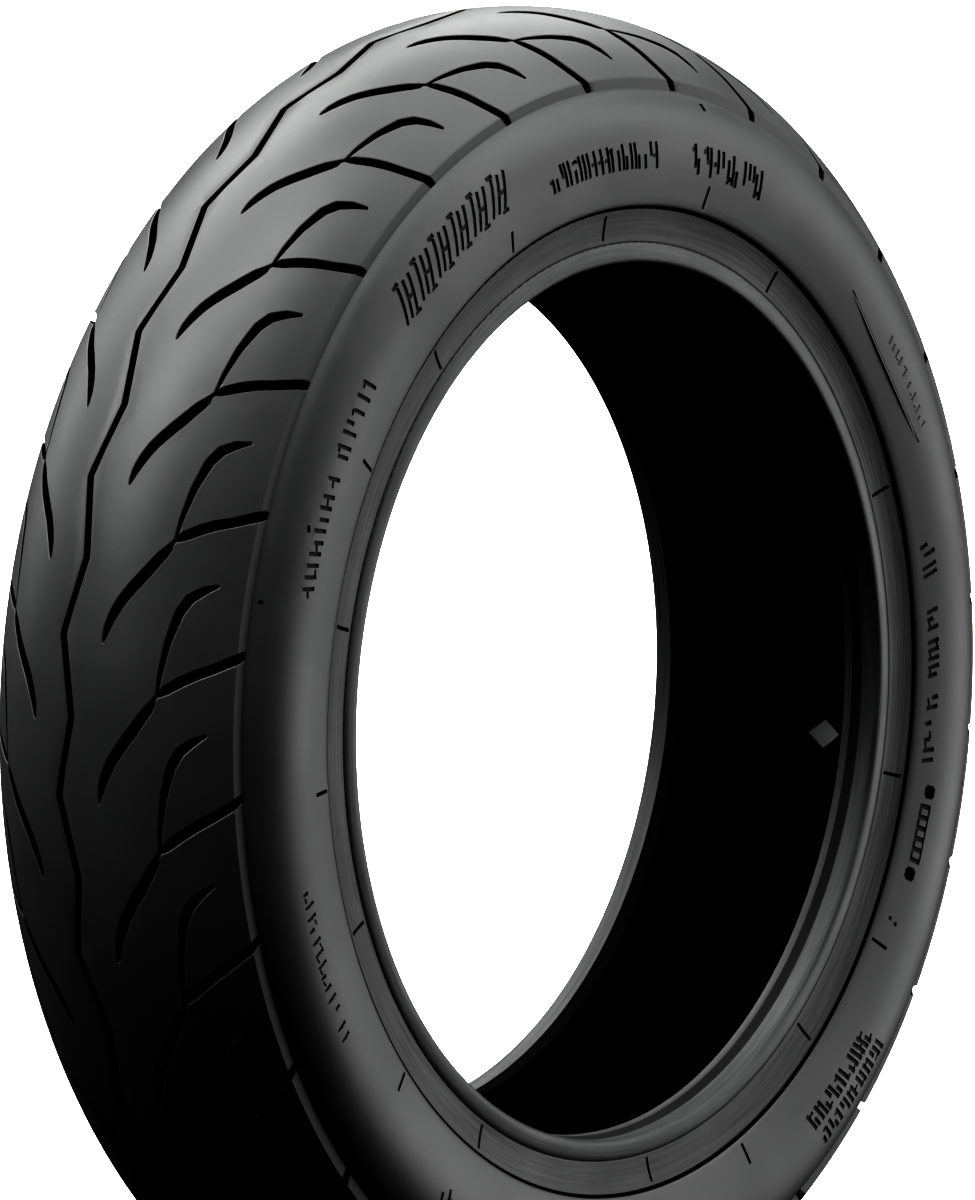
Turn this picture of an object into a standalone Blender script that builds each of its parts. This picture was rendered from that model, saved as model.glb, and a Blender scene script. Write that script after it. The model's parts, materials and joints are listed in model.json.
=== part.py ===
"""A tubeless bias-ply scooter tyre, 120/70-12, as the rubber, cord and steel pieces it is laid up from.

Run it with blender --background --python part.py, or from Blender's text editor.

Frame: metres, +Z up. The origin is the wheel centre and the tyre spins about Y. +Y is the left side.
A section point is (radius, side): its distance from the spin axis and from the centre plane.
Sections are written for the left half and mirrored for the right one.
"""

import math

import bmesh
import bpy
from mathutils import Vector

MM = 0.001

# The tyre's main sizes
OUTER_RADIUS = 237.5 * MM
TREAD_HALF = 50.5 * MM  # centre plane to the shoulder edge
TREAD_DROP = 25.9 * MM  # crown down to the shoulder edge
TREAD_POWER = 2.43  # how late the crown falls away
SECTION_HALF = 57.0 * MM  # centre plane to the widest point of the sidewall
SECTION_RADIUS = 194.0 * MM  # where that widest point is
RIM_LINE_RADIUS = 169.1 * MM  # the moulded line just above the rim flange
BEAD_FACE_SIDE = 49.6 * MM  # flat face that the rim flange presses on
HEEL_RADIUS = 150.4 * MM
TOE_RADIUS = 149.3 * MM

# Layers, and the clearance kept between any two of them
GAP = 0.25 * MM
PLY = 0.8 * MM
LINER = 1.2 * MM
TREAD_BASE = 1.1 * MM
BEAD_WRAP = 0.5 * MM
LOW_TURN_UP = 174.0 * MM  # radius the outer ply is turned up to
HIGH_TURN_UP = 177.0 * MM  # the same for the inner ply
LINER_START = 3  # first point of the ply's half line above the bead core's inside
CROWN_STATIONS = 3  # how many of its last points lie under the tread

# Bead core: four steel wires side by side, wound four times round
CORE_WIDTH = 4.8 * MM
CORE_LOW = 155.2 * MM
CORE_INNER_SIDE = 40.2 * MM
CORE_OUTER_SIDE = CORE_INNER_SIDE + CORE_WIDTH
CORE_HIGH = CORE_LOW + CORE_WIDTH

# Tread pattern, which repeats once a pitch on each side, half a pitch apart
PITCHES = 28
PITCH_LENGTH = 51.46 * MM  # of a pitch of the commonest length, at the crown
# Pitches differ a little in length, to spread the tyre's hum: (pitch, degrees round the wheel).
PITCH_ANGLES = [
    (-19, -194.97),
    (-14, -131.1),
    (-9, -67.25),
    (-8, -53.5),
    (-7, -39.8),
    (-6, -26.4),
    (0, 51.7),
    (1, 64.95),
    (2, 78.13),
    (9, 165.03),
]
GROOVE_DEPTH = 5.6 * MM
RIB_GROOVE_DEPTH = 4.0 * MM
CENTRE_GROOVE_DEPTH = 5.0 * MM
CUTTER_RISE = 2.5 * MM  # how far a cutter stands above the tread
CENTRE_SWING = 2.7 * MM
CENTRE_HALF_WIDTH = 1.3 * MM
CENTRE_PHASE = 0.94  # pitch at which the centre groove is furthest left

# The small square label stuck inside, one corner up
LABEL_THICKNESS = 0.3 * MM
LABEL_REACH = 5.3 * MM  # half its diagonal
LABEL_SIDE = 18.5 * MM
LABEL_FLAT = -3  # which of the liner's flats it lies on, counted round from +X

SEGMENTS = 32  # flats round the circumference, the same for every ring so that the gaps stay even
MERGE_DISTANCE = 0.01 * MM


def clear_scene():
    for obj in list(bpy.data.objects):
        bpy.data.objects.remove(obj)


def make_collection(name):
    collection = bpy.data.collections.new(name)
    bpy.context.scene.collection.children.link(collection)
    return collection


def make_material(name, colour, roughness, metallic=0.0):
    material = bpy.data.materials.new(name)
    material.use_nodes = True
    shader = material.node_tree.nodes["Principled BSDF"]
    shader.inputs["Base Color"].default_value = (*colour, 1.0)
    shader.inputs["Roughness"].default_value = roughness
    shader.inputs["Metallic"].default_value = metallic
    return material


def tread_radius(side):
    """Radius of the tread's outer surface at a distance from the centre plane."""
    return OUTER_RADIUS - TREAD_DROP * (abs(side) / TREAD_HALF) ** TREAD_POWER


def tread_normal(side):
    """Outward unit normal of the tread's surface, as (radius, side)."""
    fall = TREAD_DROP * TREAD_POWER / TREAD_HALF * (abs(side) / TREAD_HALF) ** (TREAD_POWER - 1)
    return Vector((1.0, math.copysign(fall, side))).normalized()


def offset_line(line, distance):
    """The line moved sideways by a distance, with mitred corners. Positive is to its right."""
    points = [Vector(p) for p in line]
    moved = []
    for i, point in enumerate(points):
        before = (point - points[i - 1]).normalized() if i else None
        after = (points[i + 1] - point).normalized() if i + 1 < len(points) else None
        ways = [way for way in (before, after) if way is not None]
        normals = [Vector((way.y, -way.x)) for way in ways]
        mitre = sum(normals, Vector((0.0, 0.0))).normalized()
        moved.append(point + mitre * (distance / mitre.dot(normals[0])))
    return moved


def strip(line, centre, thickness):
    """Closed section of a layer that follows a line at a distance to its right."""
    near = offset_line(line, centre - thickness / 2)
    far = offset_line(line, centre + thickness / 2)
    return near + far[::-1]


def mirrored(section):
    return [Vector((radius, -side)) for radius, side in section]


def turned_ring(name, section, material, collection):
    """A ring: a closed section turned about the spin axis by a Screw modifier."""
    points = [Vector(p) for p in section]
    area = sum(a.x * b.y - b.x * a.y for a, b in zip(points, points[1:] + points[:1]))
    if area > 0:
        points.reverse()
    count = len(points)
    mesh = bpy.data.meshes.new(name)
    edges = [(i, (i + 1) % count) for i in range(count)]
    mesh.from_pydata([(p.x, p.y, 0.0) for p in points], edges, [])
    mesh.materials.append(material)
    ring = bpy.data.objects.new(name, mesh)
    collection.objects.link(ring)
    screw = ring.modifiers.new("Turn", "SCREW")
    screw.axis = "Y"
    screw.steps = SEGMENTS
    screw.render_steps = SEGMENTS
    screw.use_merge_vertices = True
    screw.merge_threshold = MERGE_DISTANCE
    return ring


# ---- Section lines ----------------------------------------------------------------------------


def ply_half_line(turn_up_radius):
    """Centre line of the outer ply on the left: from its turned-up end, round the bead, to the crown."""
    under = CORE_LOW - GAP - BEAD_WRAP - GAP - PLY / 2
    inside = CORE_INNER_SIDE - GAP - BEAD_WRAP - GAP - PLY / 2
    outside = CORE_OUTER_SIDE + GAP + BEAD_WRAP + GAP + PLY / 2
    bend_radius = 163.0 * MM
    turn_up_slope = 0.382  # how far the turned-up end leans out
    return [
        (turn_up_radius, outside + (turn_up_radius - bend_radius) * turn_up_slope),
        (bend_radius, outside),
        (under, outside),
        (under, inside),
        (161.5 * MM, inside),
        (179.0 * MM, 50.6 * MM),
        (192.0 * MM, 52.9 * MM),
        (202.0 * MM, 47.6 * MM),
        (209.5 * MM, 40.0 * MM),
        (220.5 * MM, 27.7 * MM),
        (227.1 * MM, 12.0 * MM),
    ]


def whole_line(half):
    """A line for the left half continued over the crown to the right one."""
    return [Vector(p) for p in half] + mirrored(half)[::-1]


def liner_line():
    """The liner's outer face, from the left bead over the crown to the right one."""
    line = whole_line(ply_half_line(LOW_TURN_UP)[LINER_START:])
    return offset_line(line, 1.5 * PLY + 2 * GAP)


def carcass_sections():
    """The two plies, one inside the other, and the liner that covers them inside."""
    outer = strip(whole_line(ply_half_line(LOW_TURN_UP)), 0.0, PLY)
    inner = strip(whole_line(ply_half_line(HIGH_TURN_UP)), PLY + GAP, PLY)
    liner = liner_line()
    liner_foot = 156.1 * MM
    liner[0].x = liner_foot
    liner[-1].x = liner_foot
    return outer, inner, strip(liner, LINER / 2, LINER)


def tread_sections():
    """The grooved cap and the thin base under it."""
    crown = whole_line(ply_half_line(LOW_TURN_UP)[-CROWN_STATIONS:])
    base_centre = -(PLY / 2 + GAP + TREAD_BASE / 2)
    base = strip(crown, base_centre, TREAD_BASE)
    cap_under = offset_line(crown, base_centre - TREAD_BASE / 2 - GAP)
    cap_edge = 47.0 * MM
    sides = [cap_edge, 37.0 * MM, 25.0 * MM, 12.0 * MM, 0.0]
    half_top = [Vector((tread_radius(side), side)) for side in sides]
    top = half_top + mirrored(half_top[:-1])[::-1]
    return top + cap_under[::-1], base


def shoulder_wing_section():
    """The wedge that joins the cap's edge to the sidewall and carries the shoulder rib."""
    return [
        (215.4 * MM, 47.4 * MM),
        (213.55 * MM, 48.9 * MM),
        (213.2 * MM, 49.4 * MM),
        (209.9 * MM, 50.1 * MM),
        (208.0 * MM, 52.9 * MM),
        (203.3 * MM, 49.0 * MM),
        (210.7 * MM, 42.0 * MM),
    ]


def sidewall_section():
    rim_line_side = 53.4 * MM
    return [
        (207.6 * MM, 53.1 * MM),
        (202.0 * MM, 55.7 * MM),
        (SECTION_RADIUS, SECTION_HALF),
        (181.0 * MM, 56.1 * MM),
        (RIM_LINE_RADIUS + 0.6 * MM, rim_line_side),
        (RIM_LINE_RADIUS, 52.2 * MM),
        (RIM_LINE_RADIUS, 50.9 * MM),
        (178.2 * MM, 54.1 * MM),
        (178.4 * MM, 51.6 * MM),
        (192.3 * MM, 53.9 * MM),
        (202.8 * MM, 49.2 * MM),
    ]


def rim_cushion_section():
    """Rubber between the turned-up plies and the rim flange, with the flat face the flange presses on."""
    plies_side = CORE_OUTER_SIDE + 3 * GAP + BEAD_WRAP + 2 * PLY + 2 * GAP
    return [
        (152.4 * MM, plies_side),
        (152.4 * MM, 49.2 * MM),
        (153.4 * MM, BEAD_FACE_SIDE),
        (157.0 * MM, BEAD_FACE_SIDE),
        (158.0 * MM, 50.4 * MM),
        (RIM_LINE_RADIUS - 0.3 * MM, 52.2 * MM),
        (RIM_LINE_RADIUS - 0.3 * MM, 50.7 * MM),
        (162.6 * MM, plies_side),
    ]


def chafer_section():
    """The hard strip on the bead seat, from the heel round the toe."""
    top = 152.1 * MM
    inner_side = 37.1 * MM
    leg_top = 155.8 * MM
    return [
        (leg_top, inner_side),
        (leg_top, 35.9 * MM),
        (TOE_RADIUS, 35.3 * MM),
        (HEEL_RADIUS, 46.2 * MM),
        (HEEL_RADIUS + 1.0 * MM, 48.5 * MM),
        (top, 49.0 * MM),
        (top, inner_side),
    ]


def bead_core_section():
    return [
        (CORE_LOW, CORE_INNER_SIDE),
        (CORE_LOW, CORE_OUTER_SIDE),
        (CORE_HIGH, CORE_OUTER_SIDE),
        (CORE_HIGH, CORE_INNER_SIDE),
    ]


def bead_wrap_section():
    """Fabric folded up round the core, open above it."""
    line = [
        (163.0 * MM, CORE_OUTER_SIDE),
        (CORE_LOW, CORE_OUTER_SIDE),
        (CORE_LOW, CORE_INNER_SIDE),
        (161.3 * MM, CORE_INNER_SIDE),
    ]
    return strip(line, GAP + BEAD_WRAP / 2, BEAD_WRAP)


def bead_filler_section():
    foot = CORE_HIGH + GAP
    return [
        (foot, CORE_INNER_SIDE),
        (foot, CORE_OUTER_SIDE),
        (163.4 * MM, CORE_OUTER_SIDE),
        (175.0 * MM, 49.7 * MM),
    ]


# ---- Tread pattern ------------------------------------------------------------------------------


def pitch_angle(pitch):
    """Angle round the wheel of a pitch, whole or part, measured from +X towards +Z."""
    start = PITCH_ANGLES[0][0]
    turns, rest = divmod(pitch - start, PITCHES)
    rest += start
    ends = [*PITCH_ANGLES[1:], (start + PITCHES, PITCH_ANGLES[0][1] + 360.0)]
    for (low, low_angle), (high, high_angle) in zip(PITCH_ANGLES, ends):
        if rest <= high:
            share = (rest - low) / (high - low)
            return math.radians(low_angle + share * (high_angle - low_angle) + 360.0 * turns)
    raise ValueError(pitch)


def groove_corners(side, pitch, half_width, depth, way):
    """Four corners of a groove cutter across its run at one point of the tread.

    side is positive to the left, pitch counts round the tyre, and way is the groove's direction there
    as (along side, along the circumference), of unit length.
    """
    corners = []
    for hand in (-1, 1):
        across = side - hand * half_width * way[1] * tread_normal(side).x
        radius = tread_radius(across)
        angle = pitch_angle(pitch) + hand * half_width * way[0] / radius
        normal = tread_normal(across)
        for height in (CUTTER_RISE, -depth):
            r = radius + normal.x * height
            s = across + normal.y * height
            corners.append(Vector((r * math.cos(angle), s, r * math.sin(angle))))
    return [corners[0], corners[1], corners[3], corners[2]]


def groove_sections(route):
    """Cutter corners at each (side, pitch, half width, depth) of a route."""
    sections = []
    for i, station in enumerate(route):
        first = route[max(i - 1, 0)]
        last = route[min(i + 1, len(route) - 1)]
        way = Vector((last[0] - first[0], (last[1] - first[1]) * PITCH_LENGTH)).normalized()
        sections.append(groove_corners(*station, way))
    return sections


def brought_round(route):
    """A closed route with its last station repeated before it and its first one after it."""
    side, pitch, half_width, depth = route[-1]
    before = (side, pitch - PITCHES, half_width, depth)
    side, pitch, half_width, depth = route[0]
    after = (side, pitch + PITCHES, half_width, depth)
    return [before, *route, after]


def loft(bm, sections, closed):
    """Skins four-cornered sections, with end caps unless the run closes on itself."""
    rings = [[bm.verts.new(corner) for corner in section] for section in sections]
    count = len(rings)
    for i in range(count if closed else count - 1):
        here, there = rings[i], rings[(i + 1) % count]
        for k in range(4):
            m = (k + 1) % 4
            bm.faces.new((here[k], here[m], there[m], there[k]))
    if not closed:
        bm.faces.new(rings[0])
        bm.faces.new(rings[-1][::-1])


def link_mesh(name, bm, collection):
    """An object of a finished bmesh, with its faces turned outwards."""
    bmesh.ops.recalc_face_normals(bm, faces=bm.faces)
    mesh = bpy.data.meshes.new(name)
    bm.to_mesh(mesh)
    bm.free()
    obj = bpy.data.objects.new(name, mesh)
    collection.objects.link(obj)
    return obj


def cutter_object(name, routes, closed, collection):
    bm = bmesh.new()
    for route in routes:
        if closed:
            loft(bm, groove_sections(brought_round(route))[1:-1], closed)
        else:
            loft(bm, groove_sections(route), closed)
    cutter = link_mesh(name, bm, collection)
    cutter.hide_render = True
    cutter.display_type = "WIRE"
    return cutter


def right_side_routes():
    """One pitch of the right side: the long swept groove and the short branch from its knee."""
    swept = [
        (-13.2 * MM, 0.95, 0.3 * MM, GROOVE_DEPTH),
        (-16.0 * MM, 0.80, 1.7 * MM, GROOVE_DEPTH),
        (-30.6 * MM, 0.28, 1.8 * MM, GROOVE_DEPTH),
        (-45.0 * MM, 0.07, 1.7 * MM, GROOVE_DEPTH),
        (-51.0 * MM, -0.02, 1.3 * MM, RIB_GROOVE_DEPTH),
    ]
    branch = [
        (-31.2 * MM, 0.14, 0.7 * MM, GROOVE_DEPTH),
        (-37.4 * MM, -0.38, 1.5 * MM, GROOVE_DEPTH),
        (-43.7 * MM, -0.47, 0.5 * MM, GROOVE_DEPTH),
    ]
    return swept, branch


def repeated(route):
    """A right-side route at every pitch, and its mirror image half a pitch on."""
    routes = []
    for n in range(PITCHES):
        routes.append([(side, pitch + n, *rest) for side, pitch, *rest in route])
        routes.append([(-side, pitch + n + 0.5, *rest) for side, pitch, *rest in route])
    return routes


def centre_route():
    route = []
    for n in range(PITCHES):
        route.append((CENTRE_SWING, CENTRE_PHASE + n, CENTRE_HALF_WIDTH, CENTRE_GROOVE_DEPTH))
        route.append((-CENTRE_SWING, CENTRE_PHASE + n + 0.5, CENTRE_HALF_WIDTH, CENTRE_GROOVE_DEPTH))
    return route


def make_cutters(collection):
    swept, branch = right_side_routes()
    return [
        cutter_object("swept_groove_cutter", repeated(swept), False, collection),
        cutter_object("branch_groove_cutter", repeated(branch), False, collection),
        cutter_object("centre_groove_cutter", [centre_route()], True, collection),
    ]


def cut(obj, cutters):
    for cutter in cutters:
        boolean = obj.modifiers.new(cutter.name, "BOOLEAN")
        boolean.operation = "DIFFERENCE"
        boolean.solver = "EXACT"
        boolean.object = cutter


# ---- The label inside -----------------------------------------------------------------------------


def label_object(name, material, collection):
    """A thin square plate, one corner up, just clear of one flat of the liner's inner face."""
    flatten = math.cos(math.pi / SEGMENTS)  # the middle of a flat is nearer the axis than its ends
    inner_face = offset_line(liner_line(), LINER)
    crown_end = len(inner_face) // 2
    low, high = [Vector((p.x * flatten, p.y)) for p in inner_face[crown_end - 2 : crown_end]]
    up = (high - low).normalized()
    away = Vector((up.y, -up.x))
    centre = low + up * ((LABEL_SIDE - low.y) / up.y)
    angle = (LABEL_FLAT + 0.5) * math.tau / SEGMENTS
    sheets = []
    for lift in (GAP, GAP + LABEL_THICKNESS):
        corners = []
        for along, across in ((-1, 0), (0, 1), (1, 0), (0, -1)):
            point = centre + away * lift + up * (along * LABEL_REACH)
            sweep = across * LABEL_REACH
            x = point.x * math.cos(angle) - sweep * math.sin(angle)
            z = point.x * math.sin(angle) + sweep * math.cos(angle)
            corners.append(Vector((x, point.y, z)))
        sheets.append(corners)
    bm = bmesh.new()
    loft(bm, sheets, closed=False)
    label = link_mesh(name, bm, collection)
    label.data.materials.append(material)
    return label


# ---- The tyre -------------------------------------------------------------------------------------


def build():
    clear_scene()
    tyre = make_collection("scooter_tyre")
    cutters = make_collection("cutters")

    tread_rubber = make_material("tread_rubber", (0.030, 0.031, 0.031), 0.55)
    sidewall_rubber = make_material("sidewall_rubber", (0.034, 0.035, 0.034), 0.50)
    base_rubber = make_material("base_rubber", (0.045, 0.042, 0.040), 0.70)
    ply_cord = make_material("ply_cord", (0.30, 0.26, 0.20), 0.80)
    liner_rubber = make_material("liner_rubber", (0.010, 0.010, 0.011), 0.45)
    filler_rubber = make_material("filler_rubber", (0.060, 0.058, 0.055), 0.65)
    wrap_cloth = make_material("wrap_cloth", (0.42, 0.38, 0.30), 0.90)
    chafer_rubber = make_material("chafer_rubber", (0.028, 0.028, 0.029), 0.60)
    bead_steel = make_material("bead_steel", (0.62, 0.50, 0.33), 0.30, 1.0)
    label_film = make_material("label_film", (0.22, 0.22, 0.23), 0.75)

    grooves = make_cutters(cutters)
    cap, base = tread_sections()
    cut(turned_ring("tread_cap", cap, tread_rubber, tyre), grooves)
    turned_ring("tread_base", base, base_rubber, tyre)
    wing = shoulder_wing_section()
    cut(turned_ring("shoulder_wing_left", wing, sidewall_rubber, tyre), grooves[:1])
    cut(turned_ring("shoulder_wing_right", mirrored(wing), sidewall_rubber, tyre), grooves[:1])

    outer_ply, inner_ply, liner = carcass_sections()
    turned_ring("carcass_ply_outer", outer_ply, ply_cord, tyre)
    turned_ring("carcass_ply_inner", inner_ply, ply_cord, tyre)
    turned_ring("inner_liner", liner, liner_rubber, tyre)
    label_object("liner_label", label_film, tyre)

    paired = [
        ("sidewall", sidewall_section(), sidewall_rubber),
        ("rim_cushion", rim_cushion_section(), sidewall_rubber),
        ("chafer", chafer_section(), chafer_rubber),
        ("bead_filler", bead_filler_section(), filler_rubber),
        ("bead_wrap", bead_wrap_section(), wrap_cloth),
        ("bead_core", bead_core_section(), bead_steel),
    ]
    for name, section, material in paired:
        turned_ring(name + "_left", section, material, tyre)
        turned_ring(name + "_right", mirrored(section), material, tyre)


build()
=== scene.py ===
"""The looks of a 120/70-12 scooter tyre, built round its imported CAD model."""

import json
import math
import random

import bpy
import numpy as np
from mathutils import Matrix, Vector
from mathutils.geometry import delaunay_2d_cdt

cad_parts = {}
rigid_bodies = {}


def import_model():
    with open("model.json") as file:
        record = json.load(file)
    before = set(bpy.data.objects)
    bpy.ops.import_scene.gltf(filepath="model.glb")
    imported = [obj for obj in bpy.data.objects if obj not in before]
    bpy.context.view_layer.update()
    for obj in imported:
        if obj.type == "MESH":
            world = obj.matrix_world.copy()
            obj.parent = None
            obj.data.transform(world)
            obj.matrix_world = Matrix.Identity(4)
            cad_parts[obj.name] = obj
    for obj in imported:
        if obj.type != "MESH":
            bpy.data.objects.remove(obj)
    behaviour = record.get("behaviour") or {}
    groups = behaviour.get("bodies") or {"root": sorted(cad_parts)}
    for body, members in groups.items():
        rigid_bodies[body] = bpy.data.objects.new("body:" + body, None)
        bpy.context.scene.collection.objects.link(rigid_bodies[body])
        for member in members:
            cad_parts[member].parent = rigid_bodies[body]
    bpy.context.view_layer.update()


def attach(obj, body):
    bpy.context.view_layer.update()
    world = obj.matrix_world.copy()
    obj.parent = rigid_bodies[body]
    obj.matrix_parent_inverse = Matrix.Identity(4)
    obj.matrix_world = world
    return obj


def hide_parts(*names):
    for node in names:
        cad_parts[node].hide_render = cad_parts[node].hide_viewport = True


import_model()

# Everything below is in millimetres until it becomes a mesh.
# A skin point is (along, round): distance along the tyre's section from the middle of the tread,
# positive to the left, and distance round the tyre measured at the crown.
MM = 0.001
PITCHES = 28
OUTER_RADIUS = 237.5
PITCH = 51.46
SKIN_THICKNESS = {"tread": 7.5, "rib": 5.0, "sidewall": 1.6, "cushion": 1.2, "chafer": 1.0}
ROUND_TRIP = math.tau * OUTER_RADIUS
# The repeats differ a little in length, as on any tyre: (repeat, degrees round the wheel).
PITCH_ANGLES = [
    (-19.0, -194.97), (-14.0, -131.1), (-9.0, -67.25), (-8.0, -53.5), (-7.0, -39.8), (-6.0, -26.4),
    (0.0, 51.7), (1.0, 64.95), (2.0, 78.13), (9.0, 165.03),
]

# ---- Section of the tyre's outside, from the crown to the toe ------------------------------------

TREAD_HALF = 50.5
TREAD_DROP = 25.9
TREAD_POWER = 2.43
RIB_FOOT = 48.9

SHOULDER_RIB = [(212.95, 49.4), (209.5, 49.65)]
SIDEWALL = [
    (209.2, 49.95), (208.4, 50.9), (207.0, 52.3), (205.2, 53.6), (203.0, 54.75), (200.5, 55.75),
    (197.5, 56.55), (194.0, 57.0), (190.5, 57.05), (187.0, 56.85), (183.5, 56.3), (180.0, 55.6),
    (176.5, 54.75), (173.5, 54.0), (170.8, 53.3), (170.1, 52.95), (169.75, 52.65), (169.55, 52.1),
    (169.45, 51.7),
]
CUSHION = [
    (168.95, 51.6), (168.7, 51.65), (168.5, 51.8), (166.0, 50.95), (163.5, 50.25), (160.8, 49.7),
    (158.8, 49.45), (157.9, 49.4),
]
CHAFER = [
    (157.6, 49.25), (157.2, 49.25), (156.9, 49.5), (155.5, 49.85), (153.6, 50.1), (152.4, 50.1),
    (151.5, 49.95), (150.9, 49.65), (150.45, 49.15), (150.2, 48.5), (150.15, 47.6), (150.4, 45.8),
    (150.9, 43.2), (151.05, 41.9), (150.7, 40.8), (149.9, 38.4), (149.5, 36.6), (149.55, 35.8),
    (150.0, 35.3), (151.2, 35.15), (153.6, 35.6), (155.9, 36.0),
]


def tread_radius(side):
    return OUTER_RADIUS - TREAD_DROP * (abs(side) / TREAD_HALF) ** TREAD_POWER


TREAD = [(tread_radius(side), side) for side in np.linspace(0.0, RIB_FOOT, 60)]
SECTION = np.array(TREAD + SHOULDER_RIB + SIDEWALL + CUSHION + CHAFER)
ALONG = np.concatenate([[0.0], np.cumsum(np.hypot(*np.diff(SECTION, axis=0).T))])


def along_at(index):
    return float(ALONG[index])


RIB_START = along_at(len(TREAD) - 1)
RIB_END = along_at(len(TREAD) + len(SHOULDER_RIB) - 1)
SIDEWALL_END = along_at(len(TREAD) + len(SHOULDER_RIB) + len(SIDEWALL) - 1)
CUSHION_END = along_at(len(TREAD) + len(SHOULDER_RIB) + len(SIDEWALL) + len(CUSHION) - 1)
CHAFER_END = along_at(-1)


def along_of_side(side):
    """Skin distance of a point of the tread or its rib, at a distance from the centre plane."""
    table = SECTION[: len(TREAD) + len(SHOULDER_RIB)]
    return np.sign(side) * np.interp(np.abs(side), table[:, 1], ALONG[: len(table)])


def along_of_radius(radius):
    start = len(TREAD) + len(SHOULDER_RIB)
    stop = start + len(SIDEWALL) + len(CUSHION)
    return float(np.interp(-radius, -SECTION[start:stop, 0], ALONG[start:stop]))


def section_normals():
    """Outward unit normal at each section point, as (radius, side)."""
    run = np.gradient(SECTION, ALONG, axis=0)
    run /= np.linalg.norm(run, axis=1)[:, None]
    return np.stack([run[:, 1], -run[:, 0]], axis=1)


NORMALS = section_normals()
NORMALS[0] = (1.0, 0.0)


def even_turn(round_):
    return round_ / OUTER_RADIUS


def pitch_turn(round_):
    """Angle of a tread point, whose distance round counts repeats of PITCH."""
    repeats, degrees = np.array(PITCH_ANGLES).T
    first = repeats[0]
    k = round_ / PITCH - first
    return np.radians(np.interp(k % PITCHES + first, repeats, degrees) + 360.0 * (k // PITCHES))


def place(points, depth, turn=even_turn):
    """Where skin points lie, in metres, each sunk by its depth along the section's normal."""
    along, round_ = points[:, 0], points[:, 1]
    table = np.abs(along)
    radius = np.interp(table, ALONG, SECTION[:, 0]) - depth * np.interp(table, ALONG, NORMALS[:, 0])
    side = np.interp(table, ALONG, SECTION[:, 1]) - depth * np.interp(table, ALONG, NORMALS[:, 1])
    angle = turn(round_)
    return np.stack([radius * np.cos(angle), np.sign(along) * side, radius * np.sin(angle)], axis=1) * MM


# ---- Meshes from skin points ----------------------------------------------------------------------

KEEP_ALL_FACES = 0  # the triangulation's output type
POINT_GAP = 1e-4  # points closer than this become one in the triangulation
WELD_STEP = 2e-6  # and in a finished mesh, in metres
OUTWARD = (1, 0.2, 1)  # which way is out of the tyre, as a scale for a point's place
SHARP_DEGREES = 28.0


def triangulate(points, edges, outline):
    """Constrained triangulation, keeping the triangles inside a closed outline."""
    out, _, faces, *_ = delaunay_2d_cdt([Vector(p) for p in points], edges, [], KEEP_ALL_FACES, POINT_GAP)
    out = np.array([tuple(p) for p in out])
    faces = np.array(faces)
    middle = out[faces].mean(axis=1)
    a, b = np.array(outline), np.roll(np.array(outline), -1, axis=0)
    crossing = (a[None, :, 1] > middle[:, 1, None]) != (b[None, :, 1] > middle[:, 1, None])
    rise = np.where(b[:, 1] == a[:, 1], 1.0, b[:, 1] - a[:, 1])
    cut = a[None, :, 0] + (middle[:, 1, None] - a[None, :, 1]) / rise * (b - a)[None, :, 0]
    inside = (crossing & (middle[:, 0, None] < cut)).sum(axis=1) % 2 == 1
    return out, faces[inside]


def same_points(coords):
    """The first point of each group that lies together, and each point's group."""
    keys = np.round(coords / WELD_STEP).astype(np.int64)
    _, first, group = np.unique(keys, axis=0, return_index=True, return_inverse=True)
    return first, group.reshape(-1)


def weld(coords, faces):
    """Merges points that lie together and drops the triangles that collapse."""
    first, group = same_points(coords)
    faces = group[faces]
    good = (faces[:, 0] != faces[:, 1]) & (faces[:, 1] != faces[:, 2]) & (faces[:, 0] != faces[:, 2])
    return coords[first], faces[good], good


def boundary_edges(faces):
    """Edges used by one triangle only, in that triangle's direction."""
    edges = np.concatenate([faces[:, [0, 1]], faces[:, [1, 2]], faces[:, [2, 0]]])
    key = np.sort(edges, axis=1)
    _, index, count = np.unique(key, axis=0, return_index=True, return_counts=True)
    return edges[index[count == 1]]


def mesh_object(name, coords, faces, sharp_degrees, materials, slots=None):
    mesh = bpy.data.meshes.new(name)
    mesh.from_pydata(coords.tolist(), [], faces.tolist() if isinstance(faces, np.ndarray) else faces)
    for material in materials:
        mesh.materials.append(material)
    if slots is not None:
        mesh.polygons.foreach_set("material_index", slots.astype(np.int32))
    mesh.shade_smooth()
    mesh.set_sharp_from_angle(angle=math.radians(sharp_degrees))
    mesh.validate()
    obj = bpy.data.objects.new(name, mesh)
    bpy.context.scene.collection.objects.link(obj)
    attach(obj, "root")
    return obj


def skin_piece(name, points, depth, faces, slots, thickness, materials, turn=even_turn):
    """A closed piece: the skin, each face in its material slot, and a plain inner side a thickness below."""
    count = len(points)
    outer = place(points, depth, turn)
    inner = place(points, np.full(count, thickness), turn)
    coords = np.concatenate([outer, inner])
    a, b, c = (outer[faces[:, i]] for i in range(3))
    outward = np.einsum("ij,ij->i", np.cross(b - a, c - a), (a + b + c) * OUTWARD)
    if outward.sum() < 0:
        faces = faces[:, ::-1]
    rim = boundary_edges(merged_faces(outer, faces))
    walls = np.concatenate([
        np.stack([rim[:, 1], rim[:, 0], rim[:, 0] + count], axis=1),
        np.stack([rim[:, 1], rim[:, 0] + count, rim[:, 1] + count], axis=1),
    ])
    everything = np.concatenate([faces, faces[:, ::-1] + count, walls])
    slots = np.concatenate([slots, np.zeros(len(everything) - len(slots), int)])
    coords, everything, good = weld(coords, everything)
    return mesh_object(name, coords, everything, SHARP_DEGREES, materials, slots[good])


def merged_faces(coords, faces):
    """The same triangles with points that lie together given one number."""
    first, group = same_points(coords)
    return first[group][faces]


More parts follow.
